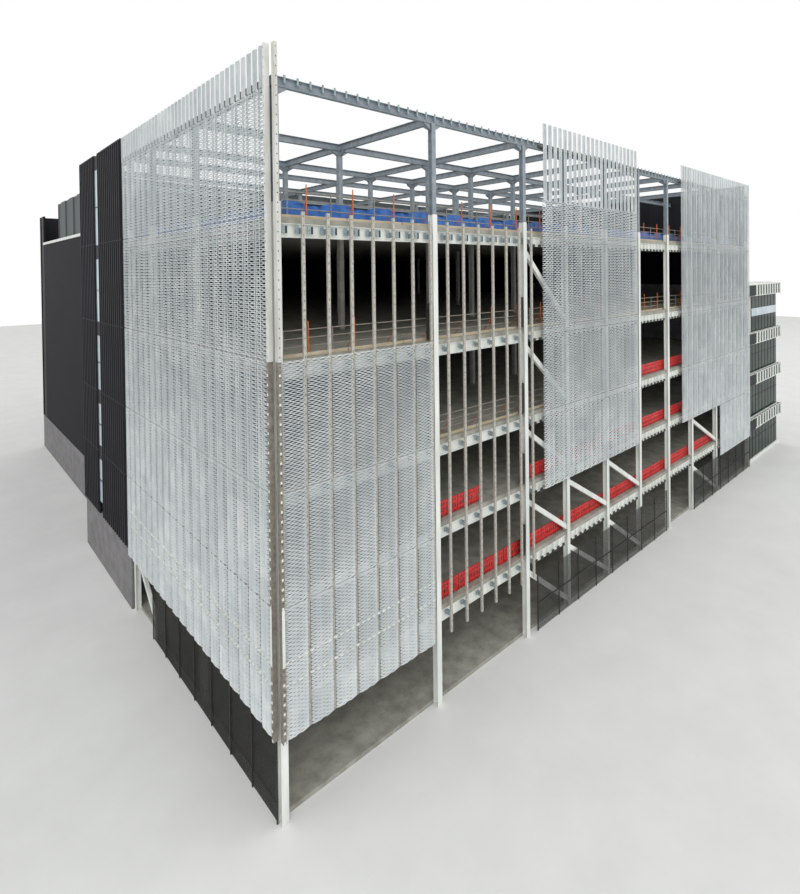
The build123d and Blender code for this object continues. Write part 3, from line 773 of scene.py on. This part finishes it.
roofCount = int((roofHigh.x - roofLow.x - roofBracket["clear"]) / stiffenerPitch)
for part in ("plate", "web"):
    cleats.append(addBar("front", *roofBracket[part], stiffenerPitch, roofCount))
finishPiece(cleats + deckPieces[:1], "spare_cleats", "cleat")
# The black bars paint the shade inside the slots beside the deck cleats.
finishPiece(deckPieces[1:], "beam_slot_shade", "black")

# Haunches under the roof beams at their columns: wedges that taper along the beam.
haunchSpec = {
    "long": 0.55,
    "wide": 0.16,
    "tall": 0.4,
    "taper": 0.85,
    "offset": 0.17,
    "beamDeep": 0.5,
    "rows": 3,
}


def addHaunch(spec):
    long, wide, tall = (spec[size] * metre for size in ("long", "wide", "tall"))
    bpy.ops.mesh.primitive_cube_add(size=1, location=(long / 2, 0, -tall / 2), scale=(long, wide, tall))
    haunch = bpy.context.object
    bpy.ops.object.transform_apply(location=True, rotation=True, scale=True)
    moveVertices(haunch, lambda p: p.x > long / 2 and p.z < -tall / 2, (0, 0, tall * spec["taper"]))
    return haunch


offset = haunchSpec["offset"]
haunchPlaces = []
for row, v in enumerate(sideLines[:haunchSpec["rows"]]):
    for u in frontLines[:-1] if row == 0 else frontLines[1:-1]:
        haunchPlaces.append((u + offset, v, 0.0))
        if u > frontLines[0]:
            haunchPlaces.append((u - offset, v, math.pi))
        haunchPlaces.append((u, v + offset, math.pi / 2))
        if row > 0:
            haunchPlaces.append((u, v - offset, -math.pi / 2))
haunches = []
for u, v, turn in haunchPlaces:
    haunch = addHaunch(haunchSpec)
    settle(haunch, at(u, v, frameTop - haunchSpec["beamDeep"]), turn)
    haunches.append(haunch)
finishPiece(haunches, "roof_haunches", "primer")

# Black steel casings guard the white columns over the lower part of each open storey.
casing = {"left": 0.5, "right": 0.21, "depth": (0.42, 0.7), "foot": 0.1, "top": 2.3}
casings = []
for line in frontLines[1:3]:
    for level in levels[1:-1]:
        stretch = (line - casing["left"], line - casing["right"])
        heights = (level + casing["foot"], level + casing["top"])
        casings.append(addBar("front", stretch, casing["depth"], heights))
finishPiece(casings, "column_casings", "black")
print("steel details on", len(haunchPlaces), "haunches")


# Tubes with eight sides, along the front, upright or leaning, repeated along the front at a pitch.
def addTubeRow(start, end, radius, pitch, count):
    low = at(*start)
    high = at(*end)
    way = high - low
    bpy.ops.mesh.primitive_cylinder_add(
        vertices=8, radius=radius * metre, depth=way.length, end_fill_type="NGON", location=(low + high) / 2
    )
    tube = bpy.context.object
    tube.rotation_euler = way.to_track_quat("Z", "Y").to_euler()
    bpy.ops.object.transform_apply(location=True, rotation=True, scale=True)
    repeat(tube, count, (pitch * metre, 0, 0))
    return tube


# Guard rails: three tubes on galvanised posts, with orange posts and stays between them.
guards = {
    "ends": (1.04, 71.34),
    "clear": 0.3,
    "pitch": 3.0,
    "radius": 0.03,
    "tubeLine": 0.95,
    "rises": (0.5, 0.93, 1.36),
    "postLine": 0.89,
    "postHigh": 1.42,
    "orangeHigh": 1.8,
    "orangeRadius": 0.035,
    "stay": ((0.95, 0.9), (1.64, 0.05)),
    "stayRadius": 0.025,
}
boards = {"long": 3.9, "gap": 0.06, "depth": (0.81, 0.86), "high": 0.18, "bevel": 0.006}
guardRuns = [
    (levels[3], frontLines[1] + guards["clear"], frontLines[3] - guards["clear"]),
    (levels[4], *guards["ends"]),
    (deckTop, *guards["ends"]),
]
tubes = []
posts = []
kickboards = []
for level, start, end in guardRuns:
    radius = guards["radius"]
    pitch = guards["pitch"]
    bays = int((end - start - 2 * radius) / pitch)
    last = start + bays * pitch + 2 * radius
    for rise in guards["rises"]:
        ends = [(u, guards["tubeLine"], level + rise) for u in (start, last)]
        tubes.append(addTubeRow(*ends, radius, pitch, 1))
    ends = [(start + radius, guards["postLine"], level + rise) for rise in (0, guards["postHigh"])]
    tubes.append(addTubeRow(*ends, radius, pitch, bays + 1))
    middle = start + pitch / 2
    ends = [(middle, guards["postLine"], level + rise) for rise in (0, guards["orangeHigh"])]
    posts.append(addTubeRow(*ends, guards["orangeRadius"], pitch, bays))
    ends = [(middle, line, level + rise) for line, rise in guards["stay"]]
    posts.append(addTubeRow(*ends, guards["stayRadius"], pitch, bays))
    count = int((last - start) / boards["long"])
    pitch = (last - start) / count
    heights = (level, level + boards["high"])
    board = addBar("front", (start, start + pitch - boards["gap"]), boards["depth"], heights)
    applyModifier(board, "BEVEL", width=boards["bevel"] * metre, segments=1)
    repeat(board, count, (pitch * metre, 0, 0))
    kickboards.append(board)
finishPiece(tubes, "guard_rail_tubes", "tube", ["guard_rails"])
finishPiece(posts, "guard_rail_orange_posts", "orange")
finishPiece(kickboards, "kickboard_boards", "timber", ["kickboards"])

# Red barriers: thin moulded panels with three rows of openings, the middle row twice as tall.
barriers = {
    "long": 2.3,
    "tall": 1.02,
    "columns": 17,
    "rows": 7,
    "openRows": (0, 2, 3, 5),
    "thick": 0.05,
    "pitch": 2.4,
    "line": 0.86,
    "lift": 0.06,
    "shortRun": 4.9,
}
barrierRuns = [
    (levels[1], frontLines[1], frontLines[8]),
    (levels[2], frontLines[1], frontLines[1] + barriers["shortRun"]),
    (levels[2], frontLines[2], frontLines[7]),
    (levels[3], frontLines[5], frontLines[7]),
]
columnWide = barriers["long"] * metre / barriers["columns"]
rowHigh = barriers["tall"] * metre / barriers["rows"]
barrierPanels = []
for level, start, end in barrierRuns:
    panel = addUprightGrid(barriers["long"], barriers["tall"], barriers["columns"], barriers["rows"])
    deleteFaces(
        panel,
        lambda p: int(p.x / columnWide) % 2 == 1 and int(p.z / rowHigh) in barriers["openRows"],
    )
    applyModifier(panel, "SOLIDIFY", thickness=barriers["thick"] * metre, offset=-1)
    repeat(panel, int((end - start) / barriers["pitch"]), (barriers["pitch"] * metre, 0, 0))
    settle(panel, at(start, barriers["line"], level + barriers["lift"]))
    barrierPanels.append(panel)
finishPiece(barrierPanels, "red_barrier_panels", "red", ["red_barriers"])
print("edge protection placed")

# Blue netting hangs from posts behind the guard rails, in bays that sag and billow.
net = {
    "tall": 1.1,
    "bay": 3.2,
    "columns": 8,
    "rows": 5,
    "billow": 0.09,
    "sag": 0.22,
    "inset": 0.06,
    "lift": 0.02,
}


def hangNet(spec, length, place, turn):
    bays = max(1, round(length / spec["bay"]))
    bay = length / bays
    cloth = addUprightGrid(bay, spec["tall"], spec["columns"], spec["rows"])
    step = bay * metre / spec["columns"]
    top = spec["tall"] * metre
    row = top / spec["rows"]
    billow = spec["billow"] * metre
    sag = spec["sag"] * metre
    moveVertices(cloth, lambda p: 1 <= round(p.x / step) < spec["columns"], (0, billow / 2, 0))
    moveVertices(cloth, lambda p: round(p.x / step) in (2, 3, 5) and p.z < top - row, (0, billow, 0))
    moveVertices(cloth, lambda p: round(p.x / step) in (3, 4, 5) and p.z > top - tiny, (0, 0, -sag))
    moveVertices(cloth, lambda p: round(p.x / step) in (2, 6) and p.z > top - tiny, (0, 0, -sag / 2))
    repeat(cloth, bays, (bay * metre, 0, 0), True)
    settle(cloth, place, turn)
    return cloth


netLow, netHigh = nodeSpan("blue_netting")
netFoot = deckTop + net["lift"]
netLong = netHigh.x - netLow.x - 2 * net["inset"]
netDeep = netHigh.y - netLow.y - 2 * net["inset"]
frontNet = hangNet(net, netLong, at(netLow.x + net["inset"], netLow.y, netFoot), 0.0)
backNet = hangNet(net, netLong, at(netHigh.x - net["inset"], netHigh.y, netFoot), math.pi)
sideNet = hangNet(net, netDeep, at(netLow.x, netHigh.y - net["inset"], netFoot), -math.pi / 2)
netPiece = finishPiece([frontNet, backNet, sideNet], "blue_net_bays", "net", ["blue_netting"])

# Black screens at ground level: see-through netting of fine strands with posts, and a mid rail on the front.
frontScreen = {
    "pitch": 0.09,
    "strand": 0.03,
    "tall": 4.2,
    "post": 0.06,
    "postPitch": 2.75,
    "line": 0.31,
    "railDepth": (0.22, 0.28),
    "railHeights": (2.05, 2.11),
}
sideScreen = {**frontScreen, "strand": 0.055}
frontScreenRuns = ((frontLines[2] + 1.06, frontLines[6] - 0.94), (frontLines[7] + 0.06, mainRight))


def makeNetting(spec, wide):
    upright = addUprightGrid(spec["strand"], spec["tall"], 1, 1)
    repeat(upright, int((wide - spec["strand"]) / spec["pitch"]) + 1, (spec["pitch"] * metre, 0, 0))
    level = addUprightGrid(wide, spec["strand"], 1, 1)
    repeat(level, int((spec["tall"] - spec["strand"]) / spec["pitch"]) + 1, (0, 0, spec["pitch"] * metre))
    return joinAll([upright, level], "netting")


def makeScreen(spec, wide):
    netting = makeNetting(spec, wide)
    bays = round((wide - spec["post"]) / spec["postPitch"])
    step = (wide - spec["post"]) / bays
    bpy.ops.mesh.primitive_cube_add(size=metre)
    post = bpy.context.object
    post.scale = (spec["post"], spec["post"], spec["tall"])
    settle(post, (spec["post"] / 2 * metre, -spec["post"] * metre, spec["tall"] / 2 * metre))
    repeat(post, bays + 1, (step * metre, 0, 0))
    return joinAll([netting, post], "screen")


frontScreens = []
for start, end in frontScreenRuns:
    screen = makeScreen(frontScreen, end - start)
    setOnFace(screen, "front", start, end, 0.0, frontScreen["line"])
    frontScreens.append(screen)
    frontScreens.append(addBar("front", (start, end), frontScreen["railDepth"], frontScreen["railHeights"]))
finishPiece(frontScreens, "front_black_netting", "black", ["front_black_mesh"])
sideScreenLow, sideScreenHigh = nodeSpan("side_black_mesh")
sideNetting = makeScreen(sideScreen, sideScreenHigh.y - sideScreenLow.y)
setOnFace(sideNetting, "side", sideScreenLow.y, sideScreenHigh.y, 0.0, sideScreen["line"])
finishPiece([sideNetting], "side_black_netting", "black", ["side_black_mesh"])
print("ground screens placed")

# Office: thin white fins in bands, with two rails along each band and tinted panels behind.
officeLevels = [0.3, 6.1, 12.3, 18.0, 24.7]
office = {
    "start": mainRight,
    "end": 87.54,
    "front": 0.34,
    "back": 39.14,
    "fin": 0.4,
    "deep": 0.1,
    "pitch": 1.2,
    "band": 1.6,
    "edge": 0.02,
    "railHigh": 0.08,
    "railEnd": 0.35,
    "panelThick": 0.03,
    "panelEnd": 0.36,
    "panelInset": 0.3,
    "edgeWide": 0.4,
    "edgeHigh": 0.12,
}
officeStart, officeEnd, officeFront, officeBack = (office[side] for side in ("start", "end", "front", "back"))


# Fins along a face, spaced evenly at about their pitch.
def addFins(spec, face, start, length, depth, heights):
    count = int(length / spec["pitch"])
    return addBar(face, (start, start + spec["fin"]), depth, heights, length / count, count)


def makeBand(spec, level):
    deep, thick, edge, inset = (spec[size] for size in ("deep", "panelThick", "edge", "panelInset"))
    inner = officeEnd - deep
    band = (level - spec["band"], level)
    railSpans = [(foot, foot + spec["railHigh"]) for foot in (band[0], level - spec["railHigh"])]
    fins = []
    panels = []
    for near, panel in ((officeFront, officeFront + deep), (officeBack - deep, officeBack - deep - thick)):
        length = officeEnd - officeStart - spec["fin"]
        panelSpan = (officeStart + edge, officeEnd - spec["panelEnd"])
        fins.append(addFins(spec, "front", officeStart + edge, length, (near, near + deep), band))
        panels.append(addBar("front", panelSpan, (panel, panel + thick), band))
        for heights in railSpans:
            stretch = (officeStart, officeEnd - spec["railEnd"])
            fins.append(addBar("front", stretch, (near + edge, near + deep), heights))
    fins.append(addFins(spec, "side", officeFront, officeBack - officeFront, (inner, officeEnd), band))
    panels.append(addBar("side", (officeFront + inset, officeBack - inset), (inner - thick, inner), band))
    for heights in railSpans:
        fins.append(addBar("side", (officeFront, officeBack), (inner, officeEnd - edge), heights))
    return fins, panels


bandFins = []
bandPanels = []
for level in officeLevels[1:]:
    fins, panels = makeBand(office, level)
    bandFins += fins
    bandPanels += panels
finishPiece(bandFins, "office_fin_plates", "white", ["office_fins"])
# The band panels take the tinted glass colour, in which the dark rooms behind are painted shade.
finishPiece(bandPanels, "office_band_panels", "tinted")
edgeWide = office["edgeWide"]
heights = (officeLevels[-1], officeLevels[-1] + office["edgeHigh"])
innerFront = officeFront + edgeWide
innerBack = officeBack - edgeWide
roofEdge = [
    addBar("front", (officeStart, officeEnd), (officeFront, innerFront), heights),
    addBar("front", (officeStart, officeEnd), (innerBack, officeBack), heights),
    addBar("side", (innerFront, innerBack), (officeEnd - edgeWide, officeEnd), heights),
]
finishPiece(roofEdge, "office_roof_edge", "white")

# Mullions and a transom stand on the office glass of each storey.
glazing = {
    "front": 0.84,
    "back": 38.64,
    "right": 87.04,
    "foot": 0.02,
    "top": 0.37,
    "inset": 0.3,
    "thick": 0.03,
    "pitch": 1.5,
    "count": 10,
    "transomShare": 0.45,
    "transomHigh": 0.04,
}
endGlazing = {
    "wide": 0.06,
    "deep": 0.07,
    "pitch": 1.46,
    "count": 26,
    "transomDeep": 0.05,
    "transomHigh": 0.07,
    "transomEnd": 38.6,
}
thick = glazing["thick"]
glassRight = glazing["right"]
firstFront = officeStart + glazing["inset"]
firstEnd = glazing["front"] + glazing["inset"]
mullions = []
for storeyFoot, storeyTop in zip(officeLevels[:-1], officeLevels[1:]):
    heights = (storeyFoot + glazing["foot"], storeyTop - glazing["top"])
    middle = storeyFoot + (storeyTop - storeyFoot) * glazing["transomShare"]
    for near in (glazing["front"] - thick, glazing["back"]):
        depth = (near, near + thick)
        stretch = (firstFront, firstFront + thick)
        mullions.append(addBar("front", stretch, depth, heights, glazing["pitch"], glazing["count"]))
        transom = (middle, middle + glazing["transomHigh"])
        mullions.append(addBar("front", (officeStart, glassRight), depth, transom))
    stretch = (firstEnd, firstEnd + endGlazing["wide"])
    depth = (glassRight, glassRight + endGlazing["deep"])
    mullions.append(addBar("side", stretch, depth, heights, endGlazing["pitch"], endGlazing["count"]))
    depth = (glassRight, glassRight + endGlazing["transomDeep"])
    transom = (middle, middle + endGlazing["transomHigh"])
    mullions.append(addBar("side", (glazing["front"], endGlazing["transomEnd"]), depth, transom))
finishPiece(mullions, "office_mullions", "dark")

# Beside the main block dark panels close the bands, and white strips stand in the top storey by a pale band.
# Each is given by its stretch along the front, its depth and its heights.
endPanel = {"stretch": (71.96, 74.9), "depth": (0.3, 0.33), "foot": 1.55, "top": 0.1}
whiteStrips = ((72.2, 72.42), (0.7, 0.76), (18.1, 23.0), 0.85, 3)
paleBand = ((75.0, 87.0), (0.8, 0.83), (20.2, 21.3))
endPanels = []
for level in officeLevels[1:]:
    heights = (level - endPanel["foot"], level - endPanel["top"])
    endPanels.append(addBar("front", endPanel["stretch"], endPanel["depth"], heights))
finishPiece(endPanels, "office_end_panels", "dark")
finishPiece([addBar("front", *whiteStrips)], "office_white_strips", "white")
# The pale band takes the same glass colour, a painted reflection of the pale sky.
finishPiece([addBar("front", *paleBand)], "office_pale_band", "clear")
print("office dressed")

# The glazed slot: a framed pane for each storey with a dark spandrel over it, close behind the ribs.
slot = {
    "topGap": 0.1,
    "leastStorey": 2.0,
    "spandrel": 1.3,
    "paneDepth": (0.08, 0.12),
    "spandrelDepth": (0.07, 0.12),
    "transomDepth": (0.04, 0.1),
    "transomHigh": 0.06,
}
slotLow, slotHigh = nodeSpan("slot_glass")
slotSpan = (slotLow.y, slotHigh.y)
slotStops = [slotLow.z] + levels[1:] + [slotHigh.z - slot["topGap"]]
panes = []
spandrels = []
for foot, top in zip(slotStops[:-1], slotStops[1:]):
    if top - foot > slot["leastStorey"]:
        split = top - slot["spandrel"]
        middle = (foot + split) / 2
        transom = (middle, middle + slot["transomHigh"])
        panes.append(addBar("side", slotSpan, slot["paneDepth"], (foot, split)))
        spandrels.append(addBar("side", slotSpan, slot["spandrelDepth"], (split, top)))
        spandrels.append(addBar("side", slotSpan, slot["transomDepth"], transom))
# The panes take the glass colour with its painted sky reflection.
finishPiece(panes, "slot_panes", "clear", ["slot_glass"])
finishPiece(spandrels, "slot_spandrels", "dark")

# Ribbed sheets of the dark walls: two columns of each rib stand forward, the next two lie back.
ribs = {"pitch": 0.62, "deep": 0.12, "thick": 0.1}
fineRibs = {**ribs, "pitch": 0.5, "deep": 0.05}
cap = {"depth": (0.0, 0.3), "high": 0.12}


def makeRibbedSheet(spec, wide, tall):
    count = round(wide / spec["pitch"])
    sheet = addUprightGrid(wide, tall, 4 * count, 1)
    step = wide * metre / (4 * count)
    moveVertices(sheet, lambda p: round(p.x / step) % 4 >= 2, (0, spec["deep"] * metre, 0))
    applyModifier(sheet, "SOLIDIFY", thickness=spec["thick"] * metre, offset=-1)
    return sheet


darkLow, darkHigh = nodeSpan("tall_dark_cladding")
darkRuns = [(darkLow.y, slotLow.y), (slotHigh.y, darkHigh.y)]
darkSheets = []
for start, end in darkRuns:
    sheet = makeRibbedSheet(ribs, end - start, darkHigh.z - darkLow.z)
    setOnFace(sheet, "side", start, end, darkLow.z)
    darkSheets.append(sheet)
    darkSheets.append(addBar("side", (start, end), cap["depth"], (darkHigh.z - cap["high"], darkHigh.z)))
finishPiece(darkSheets, "tall_ribbed_sheets", "dark", ["tall_dark_cladding"])
rearLow, rearHigh = nodeSpan("rear_side_wall")
rearSheet = makeRibbedSheet(fineRibs, rearHigh.y - rearLow.y, rearHigh.z - rearLow.z)
setOnFace(rearSheet, "side", rearLow.y, rearHigh.y, rearLow.z, rearLow.x)
finishPiece([rearSheet], "rear_ribbed_sheet", "dark", ["rear_side_wall"])

# Pressed flashings cross the fronts of the dark ribs in line with the joints of the mesh.
flashing = {"depth": (-0.015, 0.03), "high": 0.05}
flashings = []
for start, end in darkRuns:
    count = round((end - start) / ribs["pitch"])
    step = (end - start) / count
    for joint in jointHeights:
        heights = (joint - flashing["high"] / 2, joint + flashing["high"] / 2)
        stretch = (start, start + step / 4)
        flashings.append(addBar("side", stretch, flashing["depth"], heights, step, count))
finishPiece(flashings, "rib_flashings", "screen")
print("dark cladding dressed")

# Camera at the place the photograph was taken from, in real metres and degrees.
cameraFit = {
    "place": (-12.717, -23.349, 27.096),
    "yaw": 41.826,
    "pitch": -0.636,
    "roll": 0.674,
    "focalPixels": 545.7,
    "centreRow": 277.6,
    "imageHeight": 894,
    "sensor": 36.0,
    "clip": (0.05, 200),
}


def placeCamera(fit):
    yaw, pitch, roll = (math.radians(fit[key]) for key in ("yaw", "pitch", "roll"))
    forward = Vector((math.sin(yaw) * math.cos(pitch), math.cos(yaw) * math.cos(pitch), math.sin(pitch)))
    across = Vector((math.cos(yaw), -math.sin(yaw), 0))
    upward = across.cross(forward)
    right = across * math.cos(roll) - upward * math.sin(roll)
    top = across * math.sin(roll) + upward * math.cos(roll)
    turn = Matrix((right, top, -forward)).transposed().to_4x4()
    bpy.ops.object.camera_add(location=at(*fit["place"]))
    camera = bpy.context.object
    camera.matrix_world = Matrix.Translation(at(*fit["place"])) @ turn
    camera.data.sensor_width = fit["sensor"]
    camera.data.lens = fit["focalPixels"] * fit["sensor"] / fit["imageHeight"]
    camera.data.shift_y = (fit["centreRow"] - fit["imageHeight"] / 2) / fit["imageHeight"]
    camera.data.clip_start, camera.data.clip_end = fit["clip"]
    bpy.context.scene.camera = camera


deselectAll()
placeCamera(cameraFit)

# Studio: a pale floor, a white world for the camera, and two soft lamps.
studio = {
    "floorSize": 60.0,
    "floorDrop": 0.001,
    "floorHex": "#dddedc",
    "worldLight": 0.9,
    "lampSize": 14.0,
    "keyPower": 1550,
    "keyPlace": (-14, -16, 18),
    "fillPower": 775,
    "fillPlace": (16, -14, 14),
    "lampTarget": (0, 0, 1),
}


def makeFloor(spec):
    bpy.ops.mesh.primitive_plane_add(size=spec["floorSize"], location=(0, 0, -spec["floorDrop"]))
    floor = bpy.context.object
    floor.name = "studioFloor"
    material, shader = startMaterial("paleStudioFloor", spec["floorHex"], 0.9)
    mottle(material, shader, "#e0e1df", "#dadbd9", 4000)
    floor.data.materials.append(material)


# The camera, gloss and glass see the world at a strength of 1, and the object is lit by the given strength.
def lightWorld(strength):
    world = bpy.data.worlds.new("studioWorld")
    bpy.context.scene.world = world
    world.use_nodes = True
    background = world.node_tree.nodes["Background"]
    background.inputs["Color"].default_value = (1, 1, 1, 1)
    path = addNode(world, "ShaderNodeLightPath")
    seen = path.outputs["Is Camera Ray"]
    for ray in ("Is Glossy Ray", "Is Transmission Ray"):
        either = addNode(world, "ShaderNodeMath", {"operation": "MAXIMUM"}, {0: seen, 1: path.outputs[ray]})
        seen = either.outputs["Value"]
    level = addNode(world, "ShaderNodeMapRange", {"To Min": strength, "To Max": 1.0}, {"Value": seen})
    world.node_tree.links.new(level.outputs["Result"], background.inputs["Strength"])


def addSoftLamp(name, place, power, spec):
    bpy.ops.object.light_add(type="AREA", location=place)
    lamp = bpy.context.object
    lamp.name = name
    lamp.data.energy = power
    lamp.data.size = spec["lampSize"]
    lamp.rotation_euler = (Vector(spec["lampTarget"]) - Vector(place)).to_track_quat("-Z", "Y").to_euler()


makeFloor(studio)
lightWorld(studio["worldLight"])
for name in ("key", "fill"):
    addSoftLamp(name + "Lamp", studio[name + "Place"], studio[name + "Power"], studio)
print("studio and camera set")

bpy.context.scene.view_settings.view_transform = "Standard"
